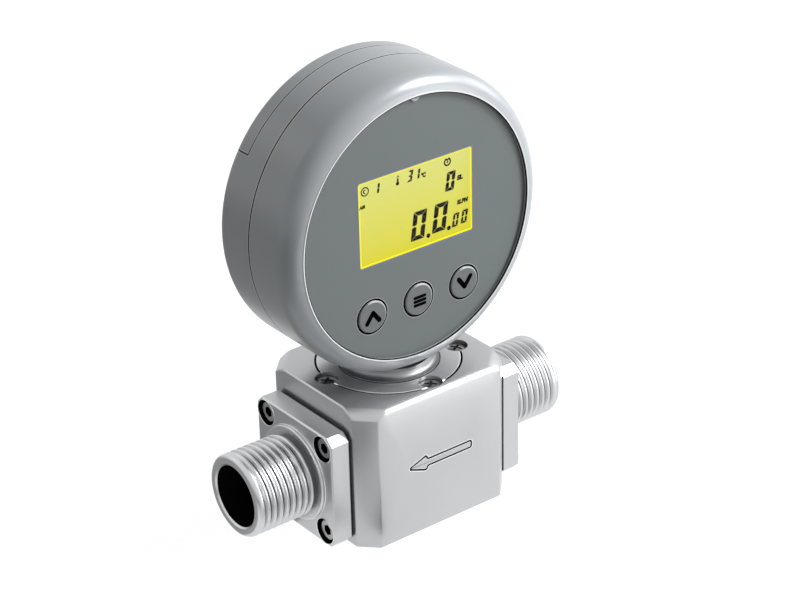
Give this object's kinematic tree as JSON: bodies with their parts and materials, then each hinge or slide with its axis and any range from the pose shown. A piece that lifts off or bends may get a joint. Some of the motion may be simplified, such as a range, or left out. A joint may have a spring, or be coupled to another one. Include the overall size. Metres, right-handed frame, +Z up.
{
  "type": "gas mass flow meter",
  "caption": "Thermal gas flow meter: milled block with threaded pipe adapters at both ends, a short neck and a round display head with keys and a battery door.",
  "frame": {"origin": "centre of the block's underside, on the neck's axis", "axes": "+X along the flow bore to the inlet, -X the outlet, -Y the display side, +Z up along the neck"},
  "size_m": [0.094, 0.04, 0.1154],
  "materials": {
    "block_aluminium": "satin bead blasted, clear anodised, bright chamfers",
    "adapter_steel": "fine turned, polished thread",
    "neck_aluminium": "fine turned",
    "disc_aluminium": "satin bead blasted, clear anodised",
    "dark_steel": "oil blackened",
    "plated_steel": "zinc plated",
    "housing_grey": "moulded, satin grey like the panel",
    "panel_grey": "moulded, fine matt texture",
    "key_grey": "moulded, satin grey like the panel",
    "clear_window": "polished clear plastic",
    "display_yellow": "lit yellow liquid crystal cell",
    "diffuser_white": "moulded, white",
    "board_green": "solder resist",
    "switch_black": "moulded, black",
    "ribbon_film": "polyimide film",
    "seal_rubber": "matt black",
    "probe_plastic": "moulded, glass filled",
    "chip_ceramic": "glazed silicon",
    "cell_jacket": "printed sleeve, plain",
    "spring_steel": "nickel plated"
  },
  "bodies": {
    "meter": {"flow_block": "block_aluminium", "inlet_adapter": "adapter_steel", "inlet_gasket": "seal_rubber", "inlet_flange_screws": "dark_steel", "outlet_adapter": "adapter_steel", "outlet_gasket": "seal_rubber", "outlet_flange_screws": "dark_steel", "flow_straightener": "neck_aluminium", "sensor_probe": "probe_plastic", "sensor_chip": "chip_ceramic", "probe_oring": "seal_rubber", "sensor_board": "board_green", "sensor_disc": "disc_aluminium", "sensor_screws": "dark_steel", "sensor_ribbon": "ribbon_film", "neck": "neck_aluminium", "neck_nut": "plated_steel", "front_housing": "housing_grey", "rear_housing": "housing_grey", "battery_door": "housing_grey", "housing_screws": "plated_steel", "housing_seal": "seal_rubber", "face_panel": "panel_grey", "display_window": "clear_window", "display_cell": "display_yellow", "backlight": "diffuser_white", "main_board": "board_green", "up_switch": "switch_black", "menu_switch": "switch_black", "down_switch": "switch_black", "upper_cell": "cell_jacket", "lower_cell": "cell_jacket", "left_contacts": "spring_steel", "right_contacts": "spring_steel"},
    "up_key": {"up_key": "key_grey"},
    "menu_key": {"menu_key": "key_grey"},
    "down_key": {"down_key": "key_grey"}
  },
  "joints": [
    {"name": "up_press", "type": "slide", "parent": "meter", "child": "up_key", "axis": [0, 1, 0], "range_m": [0, 0.0004], "stiffness_N_per_m": 400, "springref_m": -0.001},
    {"name": "menu_press", "type": "slide", "parent": "meter", "child": "menu_key", "axis": [0, 1, 0], "range_m": [0, 0.0004], "stiffness_N_per_m": 400, "springref_m": -0.001},
    {"name": "down_press", "type": "slide", "parent": "meter", "child": "down_key", "axis": [0, 1, 0], "range_m": [0, 0.0004], "stiffness_N_per_m": 400, "springref_m": -0.001}
  ]
}
